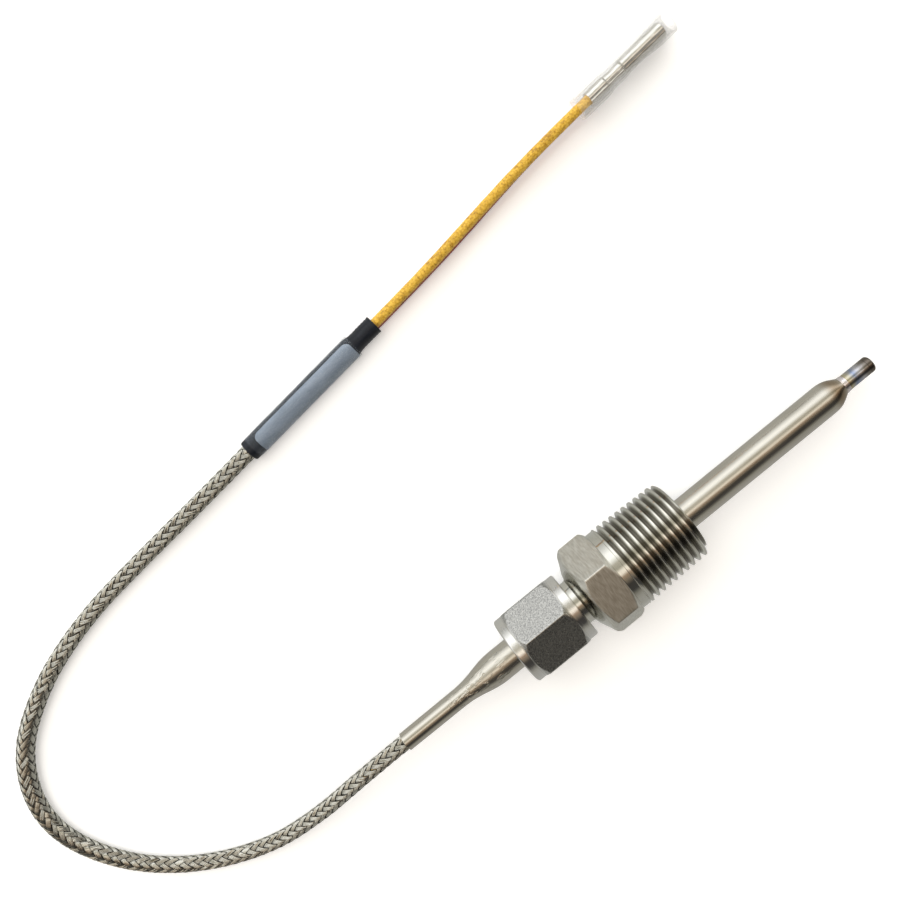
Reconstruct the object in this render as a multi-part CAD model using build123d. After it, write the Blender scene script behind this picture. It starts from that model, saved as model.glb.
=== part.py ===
from build123d import *
import math
import os

# Screw-in thermocouple: a steel probe in a two-ferrule compression fitting, with a
# braided cable, a splice under shrink sleeving and two leads that end in receptacles.
# Millimetres. The origin is on the probe axis, where the taper thread's side of the
# big hexagon ends. +X runs along the probe to its tip and +Z is up. The part lies on
# a flat surface, on one flat of the big hexagon.

os.makedirs("parts", exist_ok=True)

# ---------------------------------------------------------------- driving dimensions
# Process fitting: half-inch taper pipe thread, 14 threads to the inch.
BODY_FLATS = 22.2                 # across the flats of the big hexagon
HEX_REAR = -8.3                   # where the full hexagon starts
HEX_CHAMFER = 1.4                 # length that the corners are turned back
REAR_CONE = 1.8                   # turned cone behind the hexagon
REAR_CONE_R = 7.3
LAND_END = 2.0                    # plain turned band in front of the hexagon
LAND_R = 10.75
THREAD_END = 20.6
THREAD_PITCH = 25.4 / 14
THREAD_RIDGES = 10
THREAD_DEPTH = 0.8 * THREAD_PITCH
THREAD_SMALL_R = 10.35            # crest radius at the small end
TAPER = 1 / 32                    # growth of the radius per millimetre of length
FRONT_RING_R = 8.9                # flat ring at the small end, inside its chamfer
FRONT_RING_CHAMFER = 0.7
NECK_R = 5.75
NECK_REAR = -12.4
SCREW_R = 6.35                    # compression thread, 1/2-20
SCREW_REAR = -20.6
SCREW_CHAMFER = 0.8
SEAT_MOUTH_R = 5.66               # conical seat of the front ferrule
SEAT_BOTTOM = -14.3

# Compression nut.
NUT_FLATS = 17.5
NUT_FRONT = -11.9
NUT_REAR = -29.9
NUT_TURN = 12.1                   # degrees that it stands turned from the big hexagon
NUT_RING_R = 8.7
NUT_RING_LENGTH = 2.25
NUT_EDGE = 0.4                    # small chamfer on the two end faces
NUT_CAVITY_R = 5.7                # room for the ferrules
NUT_CAVITY_REAR = -26.9
NUT_CAVITY_FRONT = -21.8
NUT_SCREW_R = SCREW_R + 0.1

# Ferrules, swaged on the tube.
FERRULE_R = 5.4
FRONT_FERRULE_NOSE = -15.4
FRONT_FERRULE_REAR = -22.0
BACK_FERRULE_FRONT = -22.05
BACK_FERRULE_REAR = -25.2

# Probe.
TUBE_R = 4.0
TUBE_BORE_R = 3.0
RUNNING_GAP = 0.08                # radial play of what turns or slides on the probe
SHOULDER_START = 64.2
SHOULDER_END = 69.4
FLARE_START = -47.0
FLARE_END = -35.5
FLARE_MIDDLE = (-41.6, 3.1)       # place and radius halfway up the flare
CABLE_EXIT = -63.7
CRIMP_R = 2.35
SHOULDER_MIDDLE = (66.9, 3.6)
SHOULDER_R = 2.32                 # radius where the shoulder meets the weld
TIP_GAP = 0.02                    # between the thin tip and the shoulder's bore
TIP_R = 2.1
TIP_BORE_R = 1.65
TIP_INNER_END = 52.0
TIP_TUBE_END = 76.85
TIP_END = 78.4
TIP_EDGE_R = 0.7
WELD_LENGTH = 1.3
WELD_ROOT_R = 1.9                 # the weld runs this deep into the thin tube
JUNCTION_START = 75.9             # where the wires meet their weld bead
JUNCTION_R = 1.15
WIRE_R = 0.25                     # thermoelement wires
WIRE_OFFSET = 0.7
WIRE_REAR = -46.0
FILL_GAP = 0.03                   # play of the fillings around what they hold
BEAD_COUNT = 8
BEAD_LENGTH = 10.2
BEAD_SPACING = 10.5
BEAD_START = -32.5
BEAD_R = 2.6
BEAD_HOLE_R = 0.4
SEAL_START = -35.8
SEAL_END = -32.8

# Cable and leads.
BRAID_R = 1.95
BRAID_INNER_R = 1.66
JACKET_R = 1.58
JACKET_INNER_R = 1.4
CORE_R = 0.64
CORE_OFFSET = 0.68
CABLE_IN_CRIMP = 12.0             # straight end inside the tube's crimp
CORE_END = 5.0                    # the cores run on past both ends of the braid
LEAD_R = 1.25
CONDUCTOR_R = 0.42
CONDUCTOR_GAP = 0.05
LEAD_IN_NECK = 7.5                # straight end inside the splice sleeve
LEAD_IN_CRIMP = 5.0               # straight end inside the terminal
CONDUCTOR_IN_NECK = 26.0
CONDUCTOR_IN_CRIMP = 9.8
FLOOR = -BODY_FLATS / 2

# Splice sleeve, along its own axis from the cable side.
SLEEVE_START = (-48.6, 76.0)
SLEEVE_HEADING = 6.3              # degrees from +X
SLEEVE_LENGTH = 41.9
SLEEVE_R = 2.7
WRAP_R = 2.95
SLEEVE_Z = FLOOR + WRAP_R
SLEEVE_HOLLOW_R = 2.35
SLEEVE_HOLLOW_END = 32.0
WRAP_START = 1.5
WRAP_END = 33.8
SLEEVE_NECK_START = 35.4
NECK_HALF_WIDTH = 2.3
NECK_HALF_HEIGHT = 2.9
CABLE_IN_SLEEVE = 8.5
SPLICE_R = 1.0
SPLICE_START = 14.0
SPLICE_END = 23.0
LABEL_START = 3.4
LABEL_LENGTH = 31.0
LABEL_THICKNESS = 0.09
LABEL_R = SLEEVE_R + 0.08         # radius at the middle of its thickness
LABEL_WRAP = 160.0                # degrees of the sleeve that the label covers
LABEL_TOP_EDGE = 48.0             # degrees above the +Y side, seen from the cable
LEAD_STACK = 1.25                 # the leads leave one above the other, this far off the axis
RED_SIDE_STEP = -0.35             # the red lead lies a little to the -Y side

# Terminals, along their own axis from the end that grips the insulation.
CRIMP_LENGTH = 5.1
INSULATION_CRIMP_R = 1.75
WIRE_CRIMP_R = 1.6
CRIMP_NOTCH = 0.4                 # gap on each side of the wire crimp
STRAP_R = 1.7                     # floor strap that joins the crimps and the barrel
STRAP_WIDTH = 3.0
BARREL_START = 10.5
BARREL_LENGTH = 12.4
BARREL_R = 1.9
BARREL_BORE_R = 1.5
TERMINAL_HEADING = 5.0
POSITIVE_TERMINAL = (62.6, 89.2, -2.35)
NEGATIVE_TERMINAL = (64.9, 89.5, -8.25)
GUARD_R = 2.83                    # clear terminal sleeve at its two mouths
GUARD_BORE_R = 2.38
GUARD_OVERHANG = 3.5              # beyond the terminal at the lead's end
GUARD_STEP_BORE_R = 2.1           # over the wire crimp
GUARD_WAIST_BORE_R = 1.98         # over the barrel
GUARD_STEP_R = 2.5
GUARD_WAIST_R = 2.28
GUARD_STEP = 0.8                  # length of each change of diameter
GUARD_FLARE_START = 15.8
GUARD_FLARE_END = 20.9

# Routes of the free cords: the corners that the cord rounds, from its exit on.
CABLE_ROUTE = [
    (-63.7, 0.0, 0.0),
    (-76.0, 0.0, 0.0),
    (-91.5, -2.4, -5.2),
    (-108.0, -2.0, -9.1),
    (-125.0, 6.3, -9.1),
    (-138.0, 19.5, -9.1),
    (-144.6, 37.2, -9.1),
    (-138.0, 53.8, -9.1),
    (-122.5, 64.2, -9.1),
    (-104.0, 70.0, -9.1),
    (-85.0, 72.3, -9.1),
    (-66.5, 74.02, -8.15),
    (-48.6, 76.0, -8.15),
]
YELLOW_ROUTE = [
    (-7.0, 80.6, -6.9),
    (9.0, 82.37, -6.9),
    (25.5, 84.9, -5.0),
    (44.2, 87.59, -2.35),
    (62.6, 89.2, -2.35),
]
RED_ROUTE = [
    (-7.0, 80.25, -9.4),
    (9.5, 82.07, -9.4),
    (27.0, 84.7, -9.8),
    (46.2, 87.87, -8.25),
    (64.9, 89.5, -8.25),
]


# --------------------------------------------------------------------------- helpers
def turned(points):
    """A solid turned about the X axis from the corners of its half outline."""
    return revolve(make_face(Polyline(*points, close=True)), Axis.X)


def tube(start, end, outer, inner):
    """A plain ring along the X axis."""
    return turned([(start, inner), (end, inner), (end, outer), (start, outer)])


def rod(start, end, radius, y=0.0, z=0.0):
    """A round bar parallel to the X axis."""
    return Pos(start, y, z) * (Plane.YZ * extrude(Circle(radius), end - start))


def hex_bar(start, end, flats, turn):
    """Hexagon bar along X; turn 0 has flats at the top and the bottom."""
    outline = RegularPolygon(flats / math.sqrt(3), 6, rotation=turn)
    return Pos(start, 0, 0) * (Plane.YZ * extrude(outline, end - start))


def corner_radii(route):
    """Arc radius of each corner: 0.45 of the shorter run over tan(half the turn)."""
    points = [Vector(*point) for point in route]
    radii = []
    for before, corner, after in zip(points, points[1:], points[2:]):
        run_in = corner - before
        run_out = after - corner
        turn = math.radians(run_in.get_angle(run_out))
        radii.append(0.45 * min(run_in.length, run_out.length) / math.tan(turn / 2))
    return radii


def cord_path(route, lead_in, lead_out):
    """The cord's line: straight ends inside its two fittings and rounded corners between."""
    middle = FilletPolyline(*route, radius=corner_radii(route))
    first = middle @ 0 - (middle % 0) * lead_in
    last = middle @ 1 + (middle % 1) * lead_out
    return Wire([Line(first, middle @ 0), *middle.edges(), Line(middle @ 1, last)])


def swept(path, outer, inner=0.0, lift=0.0):
    """A round cord or ring of constant section along a path; lift moves it off the line."""
    start = Plane(origin=path @ 0, x_dir=(0, 1, 0), z_dir=path % 0)
    section = Circle(outer) - Circle(inner) if inner else Circle(outer)
    side = start.y_dir * math.copysign(lift, start.y_dir.Z * lift) if lift else Vector()
    return sweep(Pos(*side) * (start * section), path)


def report_cord(name, route, solid, path, outer, inner):
    """Print the arcs' radii, the length, and the volume against section times length."""
    expected = math.pi * (outer ** 2 - inner ** 2) * path.length
    print(name, "radii", [round(radius, 1) for radius in corner_radii(route)])
    print(name, "length", round(path.length, 1), "volume ratio", round(solid.volume / expected, 4))


def save(name, shape):
    export_step(shape, f"parts/{name}.step")


# -------------------------------------------------------------------- process fitting
def taper_thread_outline():
    """Half outline of the taper thread: ridges whose crests follow the taper."""
    points = []
    crest_flat = THREAD_PITCH / 8
    flank = (THREAD_PITCH - 2 * crest_flat) / 2
    start = THREAD_END - THREAD_RIDGES * THREAD_PITCH - crest_flat
    for ridge in range(THREAD_RIDGES):
        left = start + ridge * THREAD_PITCH
        crest = THREAD_SMALL_R + (THREAD_END - left) * TAPER
        points += [
            (left, crest),
            (left + crest_flat, crest),
            (left + crest_flat + flank, crest - THREAD_DEPTH),
            (left + 2 * crest_flat + flank, crest - THREAD_DEPTH),
        ]
    return points


def fitting_body():
    corner_r = BODY_FLATS / math.sqrt(3) + 0.1
    flat_r = BODY_FLATS / 2 - 0.1
    bore = TUBE_R + RUNNING_GAP
    cone_rear = HEX_REAR - REAR_CONE
    hexagon = hex_bar(cone_rear, 0, BODY_FLATS, 0)
    chamfers = turned([
        (cone_rear, 0), (cone_rear, REAR_CONE_R), (HEX_REAR, flat_r),
        (HEX_REAR + HEX_CHAMFER, corner_r), (-HEX_CHAMFER, corner_r), (0, flat_r), (0, 0),
    ])
    neck = turned([
        (SCREW_REAR, 0), (SCREW_REAR, SCREW_R - SCREW_CHAMFER), (SCREW_REAR + SCREW_CHAMFER, SCREW_R),
        (NECK_REAR, SCREW_R), (NECK_REAR + 0.5, NECK_R), (cone_rear - 1.2, NECK_R),
        (cone_rear - 0.3, NECK_R + 0.45), (cone_rear, REAR_CONE_R), (HEX_REAR, REAR_CONE_R),
        (HEX_REAR, 0),
    ])
    nose = turned([
        (HEX_REAR, 0), (HEX_REAR, LAND_R), (LAND_END, LAND_R), *taper_thread_outline(),
        (THREAD_END - FRONT_RING_CHAMFER, FRONT_RING_R + FRONT_RING_CHAMFER),
        (THREAD_END, FRONT_RING_R), (THREAD_END, 0),
    ])
    seat = turned([
        (SCREW_REAR - 1, 0), (SCREW_REAR - 1, SEAT_MOUTH_R), (SEAT_BOTTOM, bore), (SEAT_BOTTOM, 0),
    ])
    passage = turned([
        (SCREW_REAR - 1, 0), (SCREW_REAR - 1, bore), (THREAD_END - 0.5, bore),
        (THREAD_END + 0.5, bore + 1.0), (THREAD_END + 0.5, 0),
    ])
    return (hexagon & chamfers) + neck + nose - seat - passage


def compression_nut():
    corner_r = NUT_FLATS / math.sqrt(3)
    bore = TUBE_R + RUNNING_GAP
    rise = corner_r - NUT_RING_R
    ring_front = NUT_FRONT - NUT_RING_LENGTH
    ring_rear = NUT_REAR + NUT_RING_LENGTH
    bar = hex_bar(NUT_REAR, NUT_FRONT, NUT_FLATS, NUT_TURN)
    envelope = turned([
        (NUT_REAR, 0), (NUT_REAR, NUT_RING_R - NUT_EDGE), (NUT_REAR + NUT_EDGE, NUT_RING_R),
        (ring_rear, NUT_RING_R), (ring_rear + rise, corner_r), (ring_front - rise, corner_r),
        (ring_front, NUT_RING_R), (NUT_FRONT - NUT_EDGE, NUT_RING_R),
        (NUT_FRONT, NUT_RING_R - NUT_EDGE), (NUT_FRONT, 0),
    ])
    hollow = turned([
        (NUT_REAR - 1, 0), (NUT_REAR - 1, bore), (NUT_CAVITY_REAR, bore),
        (NUT_CAVITY_REAR + 1.6, NUT_CAVITY_R), (NUT_CAVITY_FRONT, NUT_CAVITY_R),
        (NUT_CAVITY_FRONT + 0.4, NUT_SCREW_R), (NUT_FRONT - 0.6, NUT_SCREW_R),
        (NUT_FRONT + 0.4, NUT_SCREW_R + 1.0), (NUT_FRONT + 0.4, 0),
    ])
    return (bar & envelope) - hollow


def front_ferrule():
    cone_end = FRONT_FERRULE_REAR + 1.4
    return turned([
        (FRONT_FERRULE_NOSE, TUBE_R), (FRONT_FERRULE_NOSE, TUBE_R + 0.18),
        (cone_end, FERRULE_R - 0.15), (cone_end - 0.25, FERRULE_R),
        (FRONT_FERRULE_REAR, FERRULE_R), (FRONT_FERRULE_REAR, TUBE_R),
    ])


def back_ferrule():
    return turned([
        (BACK_FERRULE_FRONT, TUBE_R), (BACK_FERRULE_FRONT, FERRULE_R - 0.8),
        (BACK_FERRULE_FRONT - 1.55, FERRULE_R - 0.65), (BACK_FERRULE_FRONT - 1.95, FERRULE_R),
        (BACK_FERRULE_REAR + 0.2, FERRULE_R), (BACK_FERRULE_REAR, FERRULE_R - 0.3),
        (BACK_FERRULE_REAR, TUBE_R),
    ])


# ------------------------------------------------------------------------------ probe
def protection_tube():
    """One tube, swaged down on to the thin tip in front and on to the cable behind."""
    cable_bore = BRAID_R + 0.05
    tip_bore = TIP_R + TIP_GAP
    crimp_end = (FLARE_START, CRIMP_R + 0.07)
    shoulder_end = (SHOULDER_END, SHOULDER_R)
    outer = [
        Line((CABLE_EXIT, CRIMP_R), crimp_end),
        Spline(crimp_end, FLARE_MIDDLE, (FLARE_END, TUBE_R), tangents=[(1, 0.01), (1, 0)]),
        Line((FLARE_END, TUBE_R), (SHOULDER_START, TUBE_R)),
        Spline((SHOULDER_START, TUBE_R), SHOULDER_MIDDLE, shoulder_end,
               tangents=[(1, 0), (1, -0.55)]),
        Line(shoulder_end, (SHOULDER_END, tip_bore)),
    ]
    inner = Polyline(
        (SHOULDER_END, tip_bore), (SHOULDER_START - 0.2, tip_bore),
        (SHOULDER_START - 1.7, TUBE_BORE_R), (FLARE_END - 1, TUBE_BORE_R),
        (FLARE_START + 2, cable_bore), (CABLE_EXIT, cable_bore), (CABLE_EXIT, CRIMP_R),
    )
    return revolve(make_face([*outer, *inner.edges()]), Axis.X)


def tip_sheath():
    """Thin tube; the weld at the shoulder runs into a ring of it."""
    sheath = tube(TIP_INNER_END, TIP_TUBE_END, TIP_R, TIP_BORE_R)
    return sheath - tube(SHOULDER_END, SHOULDER_END + WELD_LENGTH, TIP_R + 1, WELD_ROOT_R)


def tip_plug():
    plug = tube(TIP_TUBE_END, TIP_END, TIP_R, 0)
    return fillet(plug.edges().group_by(Axis.X)[-1], TIP_EDGE_R)


def weld_ring():
    end = SHOULDER_END + WELD_LENGTH
    return turned([
        (SHOULDER_END, WELD_ROOT_R), (SHOULDER_END, SHOULDER_R - 0.02),
        (SHOULDER_END + 0.5, SHOULDER_R - 0.1), (end, TIP_R + 0.04), (end, WELD_ROOT_R),
    ])


def hot_junction():
    bead = tube(JUNCTION_START, TIP_TUBE_END - 0.05, JUNCTION_R, 0)
    return fillet(bead.edges().group_by(Axis.X)[-1], 0.4)


def thermoelement(side):
    return rod(WIRE_REAR, JUNCTION_START, WIRE_R, z=side * WIRE_OFFSET)


def filling(start, end, outer, hole):
    """A round filling with the two wire bores through it."""
    body = tube(start, end, outer, 0)
    for side in (1, -1):
        body -= rod(start - 1, end + 1, hole, z=side * WIRE_OFFSET)
    return body


def magnesia_core():
    return filling(TIP_INNER_END, JUNCTION_START - 0.05, TIP_BORE_R - FILL_GAP, WIRE_R + FILL_GAP)


def ceramic_beads():
    starts = [BEAD_START + index * BEAD_SPACING for index in range(BEAD_COUNT)]
    beads = [filling(start, start + BEAD_LENGTH, BEAD_R, BEAD_HOLE_R) for start in starts]
    return Compound(children=beads)


def potting_seal():
    return filling(SEAL_START, SEAL_END, TUBE_BORE_R - FILL_GAP, WIRE_R + FILL_GAP)


# ------------------------------------------------------------------ cable and splice
def on_sleeve(shape):
    """Place a shape drawn along +X on the splice sleeve's axis."""
    return Pos(*SLEEVE_START, SLEEVE_Z) * Rot(0, 0, SLEEVE_HEADING) * shape


def heat_shrink():
    cone_start = SLEEVE_NECK_START - 1.6
    mouth = SLEEVE_LENGTH + 1
    bore_start = SLEEVE_HOLLOW_END - 1
    neck = Plane.YZ.offset(SLEEVE_NECK_START) * Ellipse(NECK_HALF_WIDTH, NECK_HALF_HEIGHT)
    cone = loft([Plane.YZ.offset(cone_start) * Circle(SLEEVE_R), neck])
    shell = rod(0, cone_start, SLEEVE_R) + cone + extrude(neck, SLEEVE_LENGTH - SLEEVE_NECK_START)
    shell -= rod(-1, CABLE_IN_SLEEVE + 1, BRAID_R + 0.05)
    shell -= rod(CABLE_IN_SLEEVE, SLEEVE_HOLLOW_END, SLEEVE_HOLLOW_R)
    shell -= rod(bore_start, mouth, LEAD_R + 0.04, z=LEAD_STACK)
    shell -= rod(bore_start, mouth, LEAD_R + 0.04, y=RED_SIDE_STEP, z=-LEAD_STACK)
    return on_sleeve(shell)


def marker_label():
    """Thin label bent round the sleeve: from just past its top down the -Y side."""
    middle = Pos(LABEL_START + LABEL_LENGTH / 2, LABEL_R)
    strip = revolve(middle * Rectangle(LABEL_LENGTH, LABEL_THICKNESS), Axis.X, LABEL_WRAP)
    return on_sleeve(Rot(LABEL_TOP_EDGE, 0, 0) * strip)


def clear_wrap():
    inner = LABEL_R + LABEL_THICKNESS / 2 + 0.015
    return on_sleeve(tube(WRAP_START, WRAP_END, WRAP_R, inner))


def splice(side):
    """Crimped joint of a cable core and a lead's conductor."""
    y = RED_SIDE_STEP if side < 0 else 0.0
    z = side * LEAD_STACK
    barrel = rod(SPLICE_START, SPLICE_END, SPLICE_R, y=y, z=z)
    return on_sleeve(barrel - rod(SPLICE_START - 1, SPLICE_END + 1, CONDUCTOR_R + 0.03, y=y, z=z))


# ------------------------------------------------------------- terminals and sleeves
def on_terminal(shape, place):
    return Pos(*place) * Rot(0, 0, TERMINAL_HEADING) * shape


def terminal(place):
    """Tinned receptacle: insulation crimp, wire crimp and rolled barrel on one strap."""
    barrel_end = BARREL_START + BARREL_LENGTH
    insulation = tube(0, CRIMP_LENGTH, INSULATION_CRIMP_R, LEAD_R + 0.05)
    wire = tube(CRIMP_LENGTH + CRIMP_NOTCH, BARREL_START - CRIMP_NOTCH,
                WIRE_CRIMP_R, CONDUCTOR_R + 0.03)
    barrel = tube(BARREL_START, barrel_end, BARREL_R, BARREL_BORE_R)
    strap = tube(CRIMP_LENGTH - 0.6, BARREL_START + 0.6, STRAP_R, BARREL_BORE_R)
    below = Pos(BARREL_START / 2, 0, -WIRE_CRIMP_R) * Box(barrel_end, STRAP_WIDTH, WIRE_CRIMP_R)
    return on_terminal(insulation + wire + barrel + (strap & below), place)


def terminal_guard(place):
    """Clear sleeve: wide mouth over the crimps, waist over the barrel, flared free end."""
    start = -GUARD_OVERHANG
    step = CRIMP_LENGTH + GUARD_STEP
    waist = BARREL_START + GUARD_STEP
    end = BARREL_START + BARREL_LENGTH + 2.6
    sleeve = turned([
        (start, GUARD_BORE_R), (CRIMP_LENGTH, GUARD_BORE_R), (step, GUARD_STEP_BORE_R),
        (BARREL_START, GUARD_STEP_BORE_R), (waist, GUARD_WAIST_BORE_R),
        (GUARD_FLARE_START, GUARD_WAIST_BORE_R), (GUARD_FLARE_END, GUARD_BORE_R),
        (end, GUARD_BORE_R), (end, GUARD_R), (GUARD_FLARE_END, GUARD_R),
        (GUARD_FLARE_START, GUARD_WAIST_R), (waist, GUARD_WAIST_R),
        (BARREL_START, GUARD_STEP_R), (step, GUARD_STEP_R), (CRIMP_LENGTH, GUARD_R),
        (start, GUARD_R),
    ])
    return on_terminal(sleeve, place)


# ------------------------------------------------------------------------- build all
save("fitting_body", fitting_body())
save("compression_nut", compression_nut())
save("front_ferrule", front_ferrule())
save("back_ferrule", back_ferrule())
save("protection_tube", protection_tube())
save("tip_sheath", tip_sheath())
save("tip_plug", tip_plug())
save("weld_ring", weld_ring())
save("hot_junction", hot_junction())
save("positive_thermoelement", thermoelement(1))
save("negative_thermoelement", thermoelement(-1))
save("magnesia_core", magnesia_core())
save("ceramic_beads", ceramic_beads())
save("potting_seal", potting_seal())

cable = cord_path(CABLE_ROUTE, CABLE_IN_CRIMP, CABLE_IN_SLEEVE)
braid = swept(cable, BRAID_R, BRAID_INNER_R)
report_cord("cable", CABLE_ROUTE, braid, cable, BRAID_R, BRAID_INNER_R)
save("steel_braid", braid)
save("cable_jacket", swept(cable, JACKET_R, JACKET_INNER_R))
core = cord_path(CABLE_ROUTE, CABLE_IN_CRIMP + CORE_END, CABLE_IN_SLEEVE + CORE_END)
save("positive_core", swept(core, CORE_R, lift=CORE_OFFSET))
save("negative_core", swept(core, CORE_R, lift=-CORE_OFFSET))

save("heat_shrink", heat_shrink())
save("marker_label", marker_label())
save("clear_wrap", clear_wrap())
save("positive_splice", splice(1))
save("negative_splice", splice(-1))

lead_bore_r = CONDUCTOR_R + CONDUCTOR_GAP
for colour, charge, route in (("yellow", "positive", YELLOW_ROUTE), ("red", "negative", RED_ROUTE)):
    lead_path = cord_path(route, LEAD_IN_NECK, LEAD_IN_CRIMP)
    lead = swept(lead_path, LEAD_R, lead_bore_r)
    report_cord(colour + " lead", route, lead, lead_path, LEAD_R, lead_bore_r)
    save(colour + "_lead", lead)
    wire_path = cord_path(route, CONDUCTOR_IN_NECK, CONDUCTOR_IN_CRIMP)
    save(charge + "_conductor", swept(wire_path, CONDUCTOR_R))

for charge, place in (("positive", POSITIVE_TERMINAL), ("negative", NEGATIVE_TERMINAL)):
    save(charge + "_terminal", terminal(place))
    save(charge + "_terminal_sleeve", terminal_guard(place))
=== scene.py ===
import math

import bmesh
import bpy
import numpy as np
from mathutils import Matrix, Vector


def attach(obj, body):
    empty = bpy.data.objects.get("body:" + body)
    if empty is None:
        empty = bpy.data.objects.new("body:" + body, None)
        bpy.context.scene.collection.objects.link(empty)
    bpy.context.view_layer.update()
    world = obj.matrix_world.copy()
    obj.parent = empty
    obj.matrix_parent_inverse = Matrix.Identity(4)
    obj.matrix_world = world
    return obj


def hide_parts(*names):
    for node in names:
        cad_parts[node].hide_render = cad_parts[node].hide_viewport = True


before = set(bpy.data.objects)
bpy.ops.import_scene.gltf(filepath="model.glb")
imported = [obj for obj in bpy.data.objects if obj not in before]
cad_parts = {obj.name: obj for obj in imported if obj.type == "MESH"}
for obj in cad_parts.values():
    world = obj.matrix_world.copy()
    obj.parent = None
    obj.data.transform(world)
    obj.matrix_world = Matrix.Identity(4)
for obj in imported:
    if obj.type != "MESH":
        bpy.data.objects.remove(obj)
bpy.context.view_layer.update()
MM = 0.001
RANDOM = np.random.default_rng(7)

# ------------------------------------------------------------------ routes of the cords
# Corners that each cord rounds, from its exit on.
CABLE_ROUTE = [
    (-0.0637, 0.0, 0.0),
    (-0.0760, 0.0, 0.0),
    (-0.0915, -0.0024, -0.0052),
    (-0.1080, -0.0020, -0.0091),
    (-0.1250, 0.0063, -0.0091),
    (-0.1380, 0.0195, -0.0091),
    (-0.1446, 0.0372, -0.0091),
    (-0.1380, 0.0538, -0.0091),
    (-0.1225, 0.0642, -0.0091),
    (-0.1040, 0.0700, -0.0091),
    (-0.0850, 0.0723, -0.0091),
    (-0.0665, 0.07402, -0.00815),
    (-0.0486, 0.0760, -0.00815),
]
YELLOW_ROUTE = [
    (-0.0070, 0.0806, -0.0069),
    (0.0090, 0.08237, -0.0069),
    (0.0255, 0.0849, -0.0050),
    (0.0442, 0.08759, -0.00235),
    (0.0626, 0.0892, -0.00235),
]
RED_ROUTE = [
    (-0.0070, 0.08025, -0.0094),
    (0.0095, 0.08207, -0.0094),
    (0.0270, 0.0847, -0.0098),
    (0.0462, 0.08787, -0.00825),
    (0.0649, 0.0895, -0.00825),
]

# ------------------------------------------------- sizes, in millimetres along each axis
# The probe's pieces are turned about X, so they are given as (x, radius).
BODY_FLATS, NUT_FLATS, NUT_TURN = 22.2, 17.5, 12.1
BORE_R = 4.08
THREAD_START, THREAD_END, THREAD_PITCH = 2.0, 20.6, 25.4 / 14
THREAD_SMALL_R, THREAD_TAPER, THREAD_DEPTH = 10.35, 1 / 32, 1.2
SCREW_START, SCREW_END, SCREW_PITCH, SCREW_R, SCREW_DEPTH = -20.6, -12.9, 1.27, 6.35, 0.72
SLEEVE_AXIS = Matrix.Translation((-0.0486, 0.076, -0.00815)) @ Matrix.Rotation(math.radians(6.3), 4, "Z")
SLEEVE_R = 2.7
TERMINAL_TURN = Matrix.Rotation(math.radians(5.0), 4, "Z")


# ------------------------------------------------------------------------ mesh building
def add_object(name, mesh):
    """A mesh as an object in the scene."""
    obj = bpy.data.objects.new(name, mesh)
    bpy.context.scene.collection.objects.link(obj)
    return obj


def grid_object(name, points, place=None, wrap=True, caps=False, sharp=35.0, uv=None):
    """One mesh from a grid of points in millimetres: rows x columns x 3. wrap joins the columns."""
    rows, columns = points.shape[:2]
    index = np.arange(rows * columns).reshape(rows, columns)
    if wrap:
        index = np.concatenate([index, index[:, :1]], axis=1)
    quads = np.stack([index[:-1, :-1], index[:-1, 1:], index[1:, 1:], index[1:, :-1]], axis=-1)
    faces = quads.reshape(-1, 4).tolist()
    if caps:
        faces.append(index[0, :columns].tolist())
        faces.append(index[-1, :columns][::-1].tolist())
    mesh = bpy.data.meshes.new(name)
    mesh.from_pydata((points.reshape(-1, 3) * MM).tolist(), [], faces)
    if uv is not None:
        layer = mesh.uv_layers.new(name="UVMap")
        corner = np.empty(len(mesh.loops), dtype=np.int32)
        mesh.loops.foreach_get("vertex_index", corner)
        layer.data.foreach_set("uv", uv.reshape(-1, 2)[corner].astype(np.float32).ravel())
    if place is not None:
        mesh.transform(place)
    obj = add_object(name, mesh)
    clean(obj, sharp)
    return obj


def clean(obj, sharp):
    """Merge points that coincide, turn the faces outwards and mark the sharp edges."""
    shape = bmesh.new()
    shape.from_mesh(obj.data)
    bmesh.ops.remove_doubles(shape, verts=shape.verts, dist=2e-6)
    bmesh.ops.dissolve_degenerate(shape, edges=shape.edges, dist=1e-6)
    bmesh.ops.recalc_face_normals(shape, faces=shape.faces)
    shape.to_mesh(obj.data)
    shape.free()
    obj.data.shade_smooth()
    obj.data.set_sharp_from_angle(angle=math.radians(sharp))


def join(name, objects):
    """One object from several, with their materials and UVs."""
    with bpy.context.temp_override(active_object=objects[0], selected_editable_objects=objects,
                                   selected_objects=objects, object=objects[0]):
        bpy.ops.object.join()
    objects[0].name = name
    return objects[0]


def turned_rows(path, angles, limit):
    """Rows of (x, radius) turned about X; limit(angles) caps those marked True."""
    rows = []
    for x, r, capped in path:
        radius = np.full(len(angles), float(r))
        if capped:
            radius = soft_min(radius, limit(angles), 0.05)
        rows.append(np.stack([np.full(len(angles), float(x)), radius], -1))
    return rows


def turned_points(rows, angles):
    """Points of (x, radius) rows."""
    grid = np.array(rows)
    return np.stack([grid[..., 0], grid[..., 1] * np.cos(angles), grid[..., 1] * np.sin(angles)], -1)


def soft_min(a, b, width):
    """The smaller of two radii, with the corner between them rounded."""
    low = np.minimum(a, b)
    return low - width * np.log(np.exp(-(a - low) / width) + np.exp(-(b - low) / width))


def hexagon_limit(flats, turn):
    """Radius of a hexagon bar at each angle, its corners slightly rounded."""
    def radius(angles):
        offset = (np.degrees(angles) - turn - 30.0) % 60.0
        near = np.radians(np.minimum(offset, 60.0 - offset))
        inner = flats / 2
        return soft_min(inner / np.cos(near), inner / np.cos(math.radians(60) - near), 0.1)
    return radius


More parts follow.
